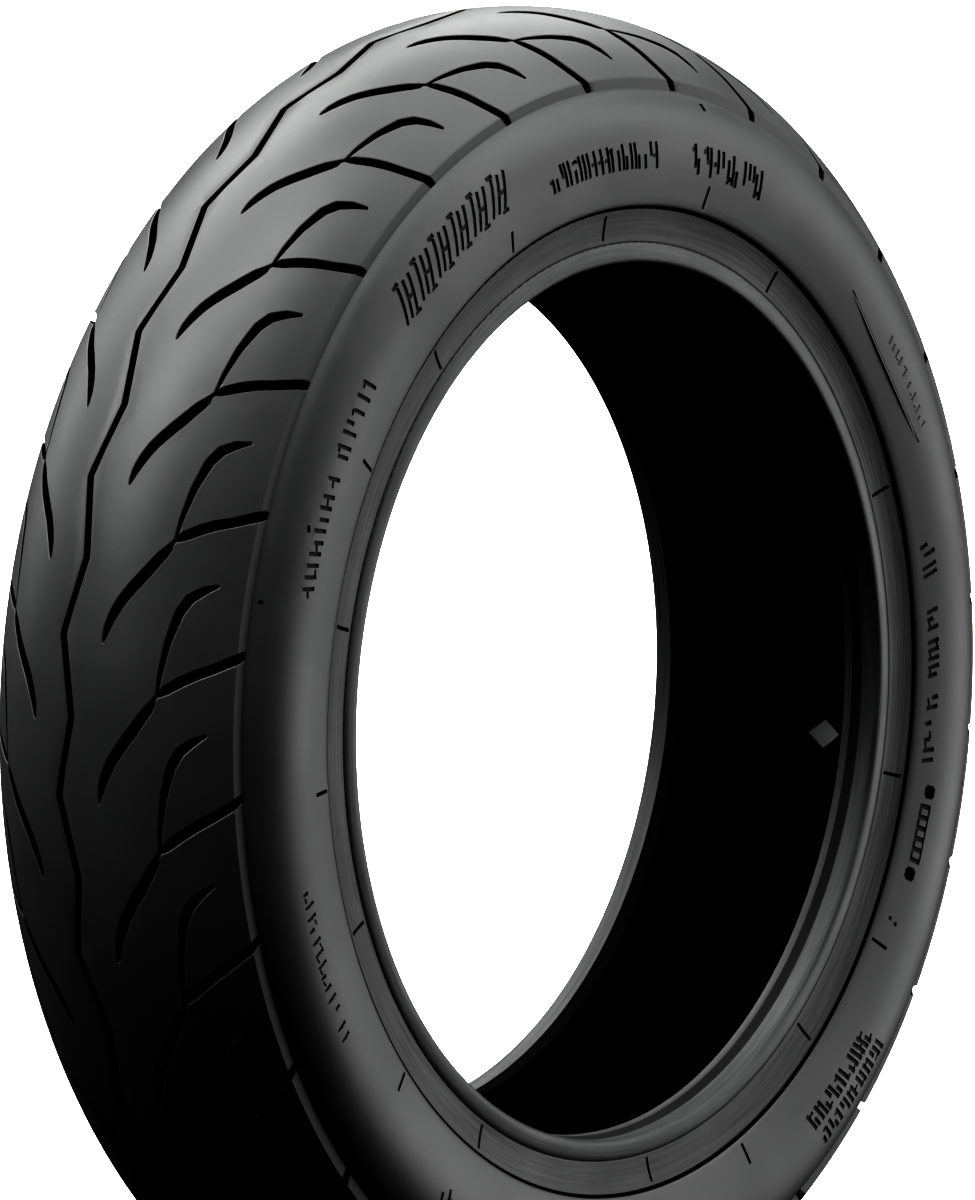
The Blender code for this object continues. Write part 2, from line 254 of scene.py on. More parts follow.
# ---- Grooves ----------------------------------------------------------------------------------------


def stroke_distance(points, stroke):
    """Distance from each point to the edge of a stroke whose stations are (along, round, half width)."""
    best = np.full(len(points), np.inf)
    stations = np.array(stroke, float)
    for start, end in zip(stations, stations[1:]):
        run = end[:2] - start[:2]
        t = np.clip(((points - start[:2]) @ run) / (run @ run), 0, 1)
        gap = np.hypot(*(points - start[:2] - t[:, None] * run).T)
        best = np.minimum(best, gap - (start[2] + t * (end[2] - start[2])))
    return best


def contour_loops(field, level, lows, step):
    """Closed lines where a field on a regular grid crosses a level."""
    inside = field < level
    nx, ny = field.shape
    links = {}

    def crossing(i, j, di, dj):
        here, there = field[i, j], field[i + di, j + dj]
        t = (level - here) / (there - here)
        return (lows[0] + (i + t * di) * step, lows[1] + (j + t * dj) * step)

    cells = inside[:-1, :-1].astype(int) + inside[1:, :-1] + inside[:-1, 1:] + inside[1:, 1:]
    for i, j in np.argwhere((cells > 0) & (cells < 4)):
        sides = [((i, j), (1, 0)), ((i + 1, j), (0, 1)), ((i, j + 1), (1, 0)), ((i, j), (0, 1))]
        hit = [
            (corner, way)
            for corner, way in sides
            if inside[corner] != inside[corner[0] + way[0], corner[1] + way[1]]
        ]
        pairs = [(0, 1)] if len(hit) == 2 else [(0, 1), (2, 3)]
        for a, b in pairs:
            for this, other in ((hit[a], hit[b]), (hit[b], hit[a])):
                links.setdefault(this, []).append(other)
    loops = []
    while links:
        start = next(iter(links))
        loop, here = [], start
        while here in links:
            loop.append(crossing(*here[0], *here[1]))
            onward = [n for n in links.pop(here) if n in links]
            if not onward:
                break
            here = onward[0]
        loops.append(np.array(loop))
    return loops


def thinned(line, tolerance, longest):
    """A closed line with fewer points: none further than tolerance from it, no gap over longest."""
    keep = {0, len(line) // 2}
    spans = [(0, len(line) // 2), (len(line) // 2, len(line))]
    while spans:
        low, high = spans.pop()
        if high - low < 2:
            continue
        a, b = line[low], line[high % len(line)]
        run = b - a
        length = np.hypot(*run)
        between = line[low + 1 : high]
        off = np.abs(run[0] * (between[:, 1] - a[1]) - run[1] * (between[:, 0] - a[0])) / max(length, 1e-9)
        if off.max() > tolerance or length > longest:
            middle = low + 1 + (int(off.argmax()) if off.max() > tolerance else (high - low) // 2 - 1)
            keep.add(middle)
            spans += [(low, middle), (middle, high)]
    return line[sorted(keep)]


def loop_edges(start, count):
    return [(start + i, start + (i + 1) % count) for i in range(count)]


# Stations of the right side's grooves: (side, pitch, half width)
SWEPT_OUTER = [
    (-49.64, -0.036, 1.1), (-49.58, -0.026, 1.5), (-49.45, -0.006, 1.7), (-48.7, 0.012, 1.7),
    (-44.5, 0.08, 1.6), (-40.5, 0.13, 1.7), (-37.0, 0.18, 1.7), (-33.6, 0.235, 1.55), (-31.9, 0.262, 1.1),
    (-31.3, 0.272, 0.55),
]
SWEPT_INNER = [
    (-31.3, 0.272, 0.55), (-30.4, 0.30, 0.6), (-29.8, 0.335, 1.2), (-28.6, 0.375, 1.6), (-24.5, 0.51, 1.8),
    (-21.0, 0.61, 1.8), (-18.0, 0.70, 1.7), (-15.8, 0.79, 1.55), (-14.4, 0.865, 1.25), (-13.6, 0.93, 0.7),
    (-13.3, 0.965, 0.2),
]
BRANCH = [
    (-31.2, 0.262, 0.4), (-31.7, 0.14, 0.7), (-33.1, -0.07, 1.1), (-35.3, -0.27, 1.5), (-37.4, -0.365, 1.6),
    (-40.5, -0.43, 1.35), (-43.4, -0.472, 0.55),
]
KNEE = (-30.9, 0.275)
CENTRE_BENDS = [(2.7, -0.07), (-2.7, 0.44)]
CENTRE_HALF_WIDTH = 1.3
GROOVE_DEPTH = 5.4
CENTRE_DEPTH = 4.6
KNEE_DEPTH = 1.8
RIB_DEPTHS = (4.6, 3.6)  # where a groove reaches the rib, and RIB_RUN further on
GROOVE_SHADE_DEPTH = 0.6  # deeper faces take the groove's near-black painted shade
CHAMFER = 0.28  # how far the rounded lip reaches out from a groove's edge
CHAMFER_DEPTH = 0.2
WALL_RUN = 0.42  # how far a wall leans in between its top and its foot
LEVELS = (CHAMFER, 0.0, -WALL_RUN)
LIP_EASE = 0.05  # keeps a line's own points clear of the change in depth,
WALL_EASE = 0.07  # at the lip and at the wall
KNEE_FLAT, KNEE_RAMP = 1.5, 5.0  # how far round the knee the floor stays shallow, and over what run it sinks
RIB_RUN = 3.0
# The grid that the side grooves' outlines are traced on: (along, pitch), and its step
GRID_LOW, GRID_HIGH, GRID_STEP = (-62.0, 0.45), (-9.0, 2.05), 0.3
FEWEST_POINTS = 12  # a traced line with fewer is only noise
OUTLINE_TOLERANCE, OUTLINE_LONGEST = 0.035, 3.2


def to_skin(stations, shift=1.0):
    return [(float(along_of_side(side)), (k + shift) * PITCH, width) for side, k, width in stations]


STROKES = [to_skin(s) for s in (SWEPT_OUTER, SWEPT_INNER, BRANCH)]
KNEE_AT = np.array(to_skin([(*KNEE, 0.0)])[0][:2])


def side_groove_distance(points):
    return np.min([stroke_distance(points, stroke) for stroke in STROKES], axis=0)


def side_groove_loops():
    lows = np.array(GRID_LOW) * (1, PITCH)
    highs = np.array(GRID_HIGH) * (1, PITCH)
    xs, ys = (np.arange(low, high, GRID_STEP) for low, high in zip(lows, highs))
    grid = np.stack(np.meshgrid(xs, ys, indexing="ij"), axis=-1).reshape(-1, 2)
    field = side_groove_distance(grid).reshape(len(xs), len(ys))
    loops = []
    for level in LEVELS:
        for loop in contour_loops(field, level, lows, GRID_STEP):
            if len(loop) > FEWEST_POINTS:
                loops.append(thinned(loop, OUTLINE_TOLERANCE, OUTLINE_LONGEST))
    return loops


# Bends of the zigzag groove, as skin points, reaching past both ends of a repeat.
CENTRE_LINE = np.array([(side, (k + n) * PITCH) for n in range(-1, 4) for side, k in CENTRE_BENDS])


def offset_open(line, distance):
    run = np.diff(line, axis=0)
    run /= np.hypot(*run.T)[:, None]
    normal = np.stack([-run[:, 1], run[:, 0]], axis=1)
    before = np.vstack([normal[:1], normal])
    after = np.vstack([normal, normal[-1:]])
    mitre = before + after
    mitre /= np.hypot(*mitre.T)[:, None]
    return line + mitre * (distance / np.einsum("ij,ij->i", mitre, before))[:, None]


def groove_depth(distance, full):
    """Depth at a distance from a groove's edge, negative inside it."""
    lip = np.clip((CHAMFER - LIP_EASE - distance) / (CHAMFER - 2 * LIP_EASE), 0, 1) * CHAMFER_DEPTH
    wall = np.clip((-WALL_EASE - distance) / (WALL_RUN - 2 * WALL_EASE), 0, 1)
    return lip + wall * (full - CHAMFER_DEPTH)


def tread_depth(points):
    stroke = [(x, y, CENTRE_HALF_WIDTH) for x, y in CENTRE_LINE]
    depth = groove_depth(stroke_distance(points, stroke), CENTRE_DEPTH)
    for flip, shift in ((1, 0.0), (-1, 0.5 * PITCH)):
        at = points * (flip, 1) - (0, shift)
        knee = np.hypot(*(at - KNEE_AT).T)
        full = KNEE_DEPTH + (GROOVE_DEPTH - KNEE_DEPTH) * np.clip((knee - KNEE_FLAT) / KNEE_RAMP, 0, 1)
        on_rib = np.interp(-at[:, 0], [RIB_START, RIB_START + RIB_RUN], RIB_DEPTHS)
        full = np.where(at[:, 0] < -RIB_START, on_rib, full)
        depth = np.maximum(depth, groove_depth(side_groove_distance(at), full))
    return depth


# Where one repeat of the tread meets the next, on the right side: (side, pitch). It misses the side grooves.
SEAM = [
    (-43.7, 0.30), (-37.5, 0.40), (-33.3, 0.55), (-30.5, 0.70), (-24.5, 1.00), (-18.0, 1.22), (-13.2, 1.45),
    (-9.0, 1.52),
]
SEAM_EDGE_PITCH = 0.33
SEAM_LONGEST = 4.0
CREASE_STEPS = 16  # to a repeat
# The lattice of points on plain rubber: its step, how far it keeps from the tread's edges and from seams,
# and how far it keeps from grooves
LATTICE_STEP, LATTICE_MARGIN, LATTICE_CLEARANCE = 4.2, 1.6, 1.3


def resampled(line, longest):
    """An open line with extra points so that no gap is over longest."""
    out = [line[0]]
    for a, b in zip(line, line[1:]):
        parts = max(1, math.ceil(math.dist(a, b) / longest))
        out += [tuple(np.array(a) + (np.array(b) - np.array(a)) * i / parts) for i in range(1, parts + 1)]
    return out


def seam_line():
    right = [(-RIB_END, SEAM_EDGE_PITCH * PITCH), (-RIB_START, SEAM_EDGE_PITCH * PITCH)]
    right += [(float(along_of_side(side)), k * PITCH) for side, k in SEAM]
    left = [(-x, y + 0.5 * PITCH) for x, y in reversed(right)]
    return resampled(right + left, SEAM_LONGEST)


def spread_points(low, high, step):
    """A triangular lattice over a box."""
    rows = np.arange(low[0], high[0], step * math.sqrt(0.75))
    out = []
    for i, x in enumerate(rows):
        out += [(x, y) for y in np.arange(low[1] + (i % 2) * step / 2, high[1], step)]
    return np.array(out)


def distance_to_line(points, line):
    return stroke_distance(points, [(x, y, 0.0) for x, y in line])


def tread_tile():
    """One repeat of the whole tread, both sides and both ribs: points and triangles."""
    seam = seam_line()
    next_seam = [(x, y + PITCH) for x, y in seam]
    points, edges = [], []

    def add(line, closed):
        start = len(points)
        points.extend(tuple(p) for p in line)
        count = len(line)
        edges.extend(loop_edges(start, count)[: count if closed else count - 1])

    outline = seam + next_seam[::-1]
    # The two outer edges and the creases of the ribs run straight round between the seams.
    creases = [RIB_END] + [along_at(len(TREAD) - 1 + i) for i in range(len(SHOULDER_RIB))]
    for sign in (-1, 1):
        start = SEAM_EDGE_PITCH * PITCH + (0.5 * PITCH if sign > 0 else 0.0)
        for crease in creases:
            add([(sign * crease, start + PITCH * i / CREASE_STEPS) for i in range(CREASE_STEPS + 1)], False)
    add(seam, False)
    add(next_seam, False)
    for loop in side_groove_loops():
        add(loop, True)
        add(loop * (-1, 1) + (0, 0.5 * PITCH), True)
    for level in LEVELS:
        for hand in (-1, 1):
            add(offset_open(CENTRE_LINE, hand * (CENTRE_HALF_WIDTH + level)), False)
    edge = RIB_START - LATTICE_MARGIN
    lattice = spread_points((-edge, 0.2 * PITCH), (edge, 3.1 * PITCH), LATTICE_STEP)
    clear = distance_to_line(lattice, CENTRE_LINE) > CENTRE_HALF_WIDTH + CHAMFER + LATTICE_CLEARANCE
    for flip, shift in ((1, 0.0), (-1, 0.5 * PITCH)):
        clear &= side_groove_distance(lattice * (flip, 1) - (0, shift)) > CHAMFER + LATTICE_CLEARANCE
    for line in (seam, next_seam):
        clear &= distance_to_line(lattice, line) > LATTICE_MARGIN
    points.extend(tuple(p) for p in lattice[clear])
    return triangulate(points, edges, outline)


def repeat_round(points, faces):
    """A tile's points and triangles at every pitch round the tyre."""
    count = len(points)
    every = np.concatenate([points + (0, n * PITCH) for n in range(PITCHES)])
    return every, np.concatenate([faces + n * count for n in range(PITCHES)])


def part_of(points, faces, low, high):
    """The triangles whose middles lie between two distances along the section, with only their points."""
    middle = points[faces].mean(axis=1)[:, 0]
    chosen = faces[(middle > low) & (middle < high)]
    used, inverse = np.unique(chosen, return_inverse=True)
    return used, inverse.reshape(chosen.shape)


# ---- Sidewall, rim cushion and chafer -----------------------------------------------------------------

RINGS_ROUND = 8 * PITCHES  # points round each ring of a turned skin
MARK_EDGE = 0.2  # how far a mark's side leans in
MARK_EASE = 0.03  # keeps its outline's own points clear of the change in depth
DARK_MARK = 0.18  # faces of a mark deeper than this take a dark grey painted shade,
BLACK_MARK = 0.56  # and deeper than this a near-black painted shade
# Boxes of painted shade, near-black in slot 1 and dark grey in slot 2: (outer radius, inner radius, outer
# side, inner side, material slot)
RIM_GROOVE_SHADE = (169.75, 168.6, 60.0, 50.0, 1)
BEAD_LINE_SHADE = (157.7, 157.1, 60.0, 48.0, 2)
RIGHT_BORE_SHADE = (152.0, 149.0, 41.9, 38.4, 2)
LEFT_BORE_SHADE = (156.0, 149.0, 44.0, 35.0, 1)

# Radial ticks, by their degrees round the wheel, and each row's middle radius and length
OUTER_TICKS = (59.0, 95.7, 130.3, 165.7, 201.2, 237.0, 271.5, -53.5)
INNER_TICKS = (4.0, 40.9, 76.9, 112.7, 147.8, 183.0, 219.0, -105.8, -69.9, -33.0)
OUTER_TICK, INNER_TICK = (175.3, 8.0), (163.0, 8.8)
TICK_WIDTH, TICK_DEPTH = 1.25, 0.8

# Small wedges under the shoulder: (radius, degrees, length, width)
WEDGES = [
    (205.7, 60.9, 3.0, 1.9), (207.6, 147.4, 1.6, 1.2), (204.5, 234.0, 3.0, 1.9), (204.5, -32.0, 3.0, 1.9),
    (196.8, 139.8, 1.4, 2.2),
]
WEDGE_LEAN, WEDGE_DEPTH = 18, 0.8

# Rows of bars in place of moulded wording: (radius, height, first and last degrees, step, width, depth)
BAR_ROWS = [
    (186.8, 9.5, 69.6, 88.2, 0.72, 1.45, 0.45), (187.0, 10.5, 50.4, 63.8, 0.80, 1.6, 0.5),
    (191.4, 7.0, 123.8, 132.5, 0.95, 1.4, 0.5), (191.4, 6.0, 134.2, 145.4, 1.15, 1.4, 0.5),
    (188.6, 3.6, 8.5, 20.5, 1.0, 0.9, 0.22), (178.4, 7.0, -8.5, -4.4, 0.95, 1.7, 0.5),
    (178.0, 5.5, -20.5, -12.0, 1.0, 1.7, 0.5), (177.8, 5.5, -30.5, -22.5, 1.2, 1.7, 0.5),
    (195.5, 7.0, -76.0, -62.5, 0.85, 1.7, 0.5), (186.5, 7.5, -77.0, -63.5, 0.85, 1.7, 0.5),
    (190.8, 4.6, 174.8, 191.0, 1.25, 1.3, 0.45), (191.0, 6.0, 214.0, 238.0, 1.1, 1.3, 0.45),
]
BAR_LEAN = 14
BAR_HEIGHTS = (1.0, 1.0, 0.8, 0.55)
BAR_STEPS = (1.0, 1.0, 1.0, 1.6)
TIE_LEVELS = (-0.32, 0.0, 0.32)  # of a short bar between two, as a share of their height
TIE_HEIGHT, TIE_WIDTH = 0.16, 1.6

# The largest wording's place holds hatched blocks.
BLOCKS, BLOCK_START, BLOCK_STEP = 6, 96.6, 3.45
BLOCK = (13.2, 7.0, -24, 1.5, 0.45)  # height, width, lean, stroke, depth
BLOCK_RADIUS = 194.3

# Single marks: (radius, degrees, length, width, depth)
THIN_LINE = (184.2, 18.0, 0.8, 71.0, 0.25)
PIP_PAIR = [(179.3, -50.3, 1.5, 1.5, 0.4), (176.2, -50.0, 1.5, 1.5, 0.4)]

# The date plate: a hole at each end, as two crossing boxes, an edge line on both sides, and cells between.
PLATE_HOLES = [(181.0, -34.1), (179.3, -44.0)]
HOLE_BOXES, HOLE_DEPTH = [(3.4, 4.9), (4.9, 3.4)], 1.1
PLATE_EDGES = [(178.0, -39.1, 1.0, 21.0, 0.3), (182.3, -39.1, 1.0, 21.0, 0.3)]
PLATE_CELLS = [(180.15, -35.9 - 1.28 * n, 5.0, 1.9, 0.45) for n in range(6)]


def mark(radius, degrees, length, width, lean, depth):
    """A straight engraved mark: its middle, its size, and its lean from radial, both angles in degrees."""
    return radius, math.radians(degrees), length, width, math.radians(lean), depth


def mark_axes(item, sign):
    """A mark's middle and its two half axes, with the scale that makes round distances true there."""
    radius, angle, length, width, lean, _ = item
    scale = OUTER_RADIUS / radius
    middle = np.array([sign * along_of_radius(radius), angle % math.tau * OUTER_RADIUS])
    down = np.array([-math.cos(lean) * sign, math.sin(lean)])
    across = np.array([math.sin(lean) * sign, math.cos(lean)])
    return middle, down, across, scale


def mark_outline(item, sign, inset):
    middle, down, across, scale = mark_axes(item, sign)
    half = item[2] / 2 - inset, item[3] / 2 - inset
    corners = [(-1, -1), (1, -1), (1, 1), (-1, 1)]
    return [middle + (down * half[0] * a + across * half[1] * b) * (1, scale) for a, b in corners]


def marks_depth(points, marks, sign):
    depth = np.zeros(len(points))
    for item in marks:
        middle, down, across, scale = mark_axes(item, sign)
        reach = item[2] + item[3]
        off = np.abs(points - middle)
        near = np.flatnonzero((off[:, 0] < reach) & (off[:, 1] < 2 * reach))
        local = (points[near] - middle) / (1, scale)
        edge = np.maximum(np.abs(local @ down) - item[2] / 2, np.abs(local @ across) - item[3] / 2)
        sunk = np.clip((-edge - MARK_EASE) / (MARK_EDGE - 2 * MARK_EASE), 0, 1) * item[5]
        depth[near] = np.maximum(depth[near], sunk)
    return depth


def turned_skin(name, low, high, sign, thickness, materials, marks, painted_shade_boxes):
    """A closed ring whose outer side is the section between two distances along it, with marks sunk in, and
    painted shade on deep marks and in the given boxes.
    """
    rings = [low] + [a for a in ALONG if low + 0.01 < a < high - 0.01] + [high]
    points, edges = [], []
    for ring in rings:
        start = len(points)
        points += [(sign * ring, ROUND_TRIP * i / RINGS_ROUND) for i in range(RINGS_ROUND + 1)]
        edges += [(start + i, start + i + 1) for i in range(RINGS_ROUND)]
    for item in marks:
        for inset in (0.0, MARK_EDGE):
            start = len(points)
            points += [tuple(p) for p in mark_outline(item, sign, inset)]
            edges += loop_edges(start, 4)
    outline = [(sign * low, 0.0), (sign * high, 0.0), (sign * high, ROUND_TRIP), (sign * low, ROUND_TRIP)]
    flat, faces = triangulate(points, edges, outline)
    depth = marks_depth(flat, marks, sign)
    sunk = depth[faces].mean(axis=1)
    # Deep marks take painted shade: near-black past BLACK_MARK, dark grey past DARK_MARK.
    slots = np.where(sunk > BLACK_MARK, 1, np.where(sunk > DARK_MARK, 2, 0))
    along = np.abs(flat[faces].mean(axis=1)[:, 0])
    radius = np.interp(along, ALONG, SECTION[:, 0])
    side = np.interp(along, ALONG, SECTION[:, 1])
    # Faces inside each box take its painted shade.
    for top, bottom, out, in_, slot in painted_shade_boxes:
        slots[(radius < top) & (radius > bottom) & (side < out) & (side > in_)] = slot
    return skin_piece(name, flat, depth, faces, slots, thickness, materials)


def slanted_bars(radius, height, start, end, step, width, depth, seed):
    """A row of plain slanted bars of uneven height, standing in for moulded wording."""
    rng = random.Random(seed)
    out, angle = [], start
    while angle < end:
        share = rng.choice(BAR_HEIGHTS)
        shift = rng.choice((-0.5, 0.5)) * (1 - share) * height
        out.append(mark(radius + shift, angle, height * share, width, BAR_LEAN, depth))
        if rng.random() < 0.5:
            middle = radius + rng.choice(TIE_LEVELS) * height
            tie = height * TIE_HEIGHT, width * TIE_WIDTH
            out.append(mark(middle, angle + step * 0.5, *tie, BAR_LEAN, depth))
        angle += step * rng.choice(BAR_STEPS)
    return out


def hatched_block(radius, angle, height, width, lean, stroke, depth):
    """A leaning block of three strokes, tied at its top and bottom."""
    reach = math.degrees(width / 2 / radius)
    slide = math.degrees(math.tan(math.radians(lean)) * height / 2 / radius)
    block = [mark(radius, angle + way * reach, height, stroke, lean, depth) for way in (-1, 0, 1)]
    block.append(mark(radius + height / 2, angle - slide - reach / 2, stroke, width / 2, 0, depth))
    block.append(mark(radius - height / 2, angle + slide + reach / 2, stroke, width / 2, 0, depth))
    block.append(mark(radius, angle - reach / 2, stroke, width / 2, 0, depth))
    return block


def ticks(row, angles):
    radius, length = row
    return [mark(radius, angle, length, TICK_WIDTH, 0, TICK_DEPTH) for angle in angles]


def sidewall_marks():
    marks = ticks(OUTER_TICK, OUTER_TICKS)
    marks += [mark(*wedge, WEDGE_LEAN, WEDGE_DEPTH) for wedge in WEDGES]
    for n in range(BLOCKS):
        marks += hatched_block(BLOCK_RADIUS, BLOCK_START + BLOCK_STEP * n, *BLOCK)
    for seed, row in enumerate(BAR_ROWS, 1):
        marks += slanted_bars(*row, seed)
    holes = [(*middle, *box, HOLE_DEPTH) for middle in PLATE_HOLES for box in HOLE_BOXES]
    for *box, depth in (THIN_LINE, *PIP_PAIR, *holes, *PLATE_EDGES, *PLATE_CELLS):
        marks.append(mark(*box, 0, depth))
    return marks


# ---- Inside of the tyre --------------------------------------------------------------------------------

LINER_HALF = [
    (156.0, 36.0), (161.0, 36.2), (169.0, 41.2), (178.0, 46.6), (185.0, 48.4), (191.0, 48.3), (196.6, 45.8),
    (201.2, 42.2), (207.0, 35.0), (212.0, 28.6), (216.3, 22.6), (219.4, 16.0), (221.3, 9.5), (222.2, 0.0),
]
LINER_CROWN, LINER_WALL = 0.6, 0.8  # the sheet's thickness along the radius, and sideways
LINER_ROUND = 232
INSIDE_SHARP_DEGREES = 40.0
ARCH_POINTS = 8  # of LINER_HALF, from the crown outward, where the liner lies like an arch


def turned_mesh(name, section, material):
    """A ring from a closed section of (radius, side) points, its faces turned to look out."""
    coords, faces = [], []
    n = len(section)
    for i in range(LINER_ROUND):
        angle = math.tau * i / LINER_ROUND
        coords += [(r * math.cos(angle) * MM, s * MM, r * math.sin(angle) * MM) for r, s in section]
    for i in range(LINER_ROUND):
        for k in range(n):
            m, j = (k + 1) % n, (i + 1) % LINER_ROUND
            faces.append((i * n + k, i * n + m, j * n + m, j * n + k))
    area = sum(a[0] * b[1] - b[0] * a[1] for a, b in zip(section, section[1:] + section[:1]))
    if area < 0:
        faces = [face[::-1] for face in faces]
    return mesh_object(name, np.array(coords), faces, INSIDE_SHARP_DEGREES, [material])


def liner_section():
    """Both halves of the sheet: its inner side, and back along its outer side."""
    inner = LINER_HALF + [(r, -s) for r, s in reversed(LINER_HALF[:-1])]
    outer = [(r + LINER_CROWN, s + math.copysign(LINER_WALL, s) if s else 0.0) for r, s in inner]
    return inner + outer[::-1]


LABEL_TURN = math.radians(-28.0)
LABEL_SIDE = 18.5
LABEL_REACH = 5.3  # half the diagonal of the small diamond label
LABEL_STEPS = 6
LABEL_LIFTS = (0.15, 0.45)  # of its back and its face off the liner


def liner_radius(side):
    radii, sides = np.array(LINER_HALF[::-1]).T
    return float(np.interp(abs(side), sides[:ARCH_POINTS], radii[:ARCH_POINTS]))


def label_mesh():
    """A thin square label, set corner up on the liner."""
    coords = []
    for lift in LABEL_LIFTS:
        for i in range(LABEL_STEPS + 1):
            for k in range(LABEL_STEPS + 1):
                u, v = i / LABEL_STEPS - 0.5, k / LABEL_STEPS - 0.5
                side = LABEL_SIDE + (u + v) * LABEL_REACH
                radius = liner_radius(side) - lift
                angle = LABEL_TURN + (u - v) * LABEL_REACH / radius
                coords.append((radius * math.cos(angle) * MM, side * MM, radius * math.sin(angle) * MM))
    n = LABEL_STEPS + 1
    faces = []
    for i in range(LABEL_STEPS):
        for k in range(LABEL_STEPS):
            quad = (i * n + k, i * n + k + 1, (i + 1) * n + k + 1, (i + 1) * n + k)
            faces += [quad, tuple(j + n * n for j in quad[::-1])]
    rim = list(range(n)) + [i * n + n - 1 for i in range(1, n)]
    rim += [(n - 1) * n + k for k in range(n - 2, -1, -1)] + [i * n for i in range(n - 2, 0, -1)]
    faces += [(a, a + n * n, b + n * n, b) for a, b in zip(rim, rim[1:] + rim[:1])]
    return np.array(coords), faces


# ---- Materials -------------------------------------------------------------------------------------------

# Noises: scale, detail, roughness
CLOUD = (22.0, 5.0, 0.6)
FINE = (900.0, 3.0, 0.6)
STREAK = (1.0, 3.0, 0.5)
NOISE_RANGE = (0.3, 0.7)  # what a noise mostly keeps within
STREAK_SCALES = (5.0, 900.0, 900.0)  # streaks to a radian round the wheel, and to a metre across
STREAK_SHARE = 4.0  # of the bump, against the grain's 1
SMOOTHER, ROUGHER = 0.04, 0.05
BUMP_DISTANCE = 0.00006


def new_material(name, colour, roughness):
    material = bpy.data.materials.new(name)
    material.use_nodes = True
    nodes, links = material.node_tree.nodes, material.node_tree.links
    shader = nodes["Principled BSDF"]
    shader.inputs["Base Color"].default_value = (*colour, 1.0)
    shader.inputs["Roughness"].default_value = roughness
    return material, nodes, links, shader


def noise(nodes, links, coordinate, scale, detail, roughness):
    node = nodes.new("ShaderNodeTexNoise")
    node.inputs["Scale"].default_value = scale
    node.inputs["Detail"].default_value = detail
    node.inputs["Roughness"].default_value = roughness
    links.new(coordinate, node.inputs["Vector"])
    return node.outputs["Fac"]


def ramp(nodes, links, value, low, high):
    node = nodes.new("ShaderNodeMapRange")
    node.inputs["From Min"].default_value, node.inputs["From Max"].default_value = NOISE_RANGE
    node.inputs["To Min"].default_value, node.inputs["To Max"].default_value = low, high
    links.new(value, node.inputs["Value"])
    return node.outputs["Result"]


def streak_height(nodes, links, coordinate):
    """Fine streaks that run round the wheel, as a turned mould or a wound cloth leaves them."""
    split = nodes.new("ShaderNodeSeparateXYZ")
    links.new(coordinate, split.inputs["Vector"])
    angle = nodes.new("ShaderNodeMath")
    angle.operation = "ARCTAN2"
    links.new(split.outputs["Z"], angle.inputs[0])
    links.new(split.outputs["X"], angle.inputs[1])
    flat = nodes.new("ShaderNodeCombineXYZ")
    links.new(split.outputs["X"], flat.inputs["X"])
    links.new(split.outputs["Z"], flat.inputs["Y"])
    radius = nodes.new("ShaderNodeVectorMath")
    radius.operation = "LENGTH"
    links.new(flat.outputs["Vector"], radius.inputs[0])
    around = nodes.new("ShaderNodeCombineXYZ")
    links.new(angle.outputs["Value"], around.inputs["X"])
    links.new(split.outputs["Y"], around.inputs["Y"])
    links.new(radius.outputs["Value"], around.inputs["Z"])
    stretch = nodes.new("ShaderNodeVectorMath")
    stretch.operation = "MULTIPLY"
    stretch.inputs[1].default_value = STREAK_SCALES
    links.new(around.outputs["Vector"], stretch.inputs[0])
    return noise(nodes, links, stretch.outputs["Vector"], *STREAK)


def rubber(name, dark, light, roughness, grain, specular, streaked):
    """Moulded rubber: cloudy bloom, a fine moulded grain, and roughness that varies with the cloud.

    A streaked look has streaks in place of the cloud's colour, and in its bump.
    """
    material, nodes, links, shader = new_material(name, dark, roughness)
    coordinate = nodes.new("ShaderNodeTexCoord").outputs["Object"]
    cloud = noise(nodes, links, coordinate, *CLOUD)
    height = noise(nodes, links, coordinate, *FINE)
    shade = cloud
    if streaked:
        shade = streak_height(nodes, links, coordinate)
        add = nodes.new("ShaderNodeMath")
        add.operation = "MULTIPLY_ADD"
        add.inputs[1].default_value = STREAK_SHARE
        links.new(shade, add.inputs[0])
        links.new(height, add.inputs[2])
        height = add.outputs["Value"]
    mix = nodes.new("ShaderNodeMix")
    mix.data_type = "RGBA"
    mix.inputs["A"].default_value = (*dark, 1.0)
    mix.inputs["B"].default_value = (*light, 1.0)
    links.new(ramp(nodes, links, shade, 0.0, 1.0), mix.inputs["Factor"])
    links.new(mix.outputs["Result"], shader.inputs["Base Color"])
    rough = ramp(nodes, links, cloud, roughness - SMOOTHER, roughness + ROUGHER)
    links.new(rough, shader.inputs["Roughness"])
    bump = nodes.new("ShaderNodeBump")
    bump.inputs["Strength"].default_value = grain
    bump.inputs["Distance"].default_value = BUMP_DISTANCE
    links.new(height, bump.inputs["Height"])
    links.new(bump.outputs["Normal"], shader.inputs["Normal"])
    shader.inputs["Specular IOR Level"].default_value = specular
    return material


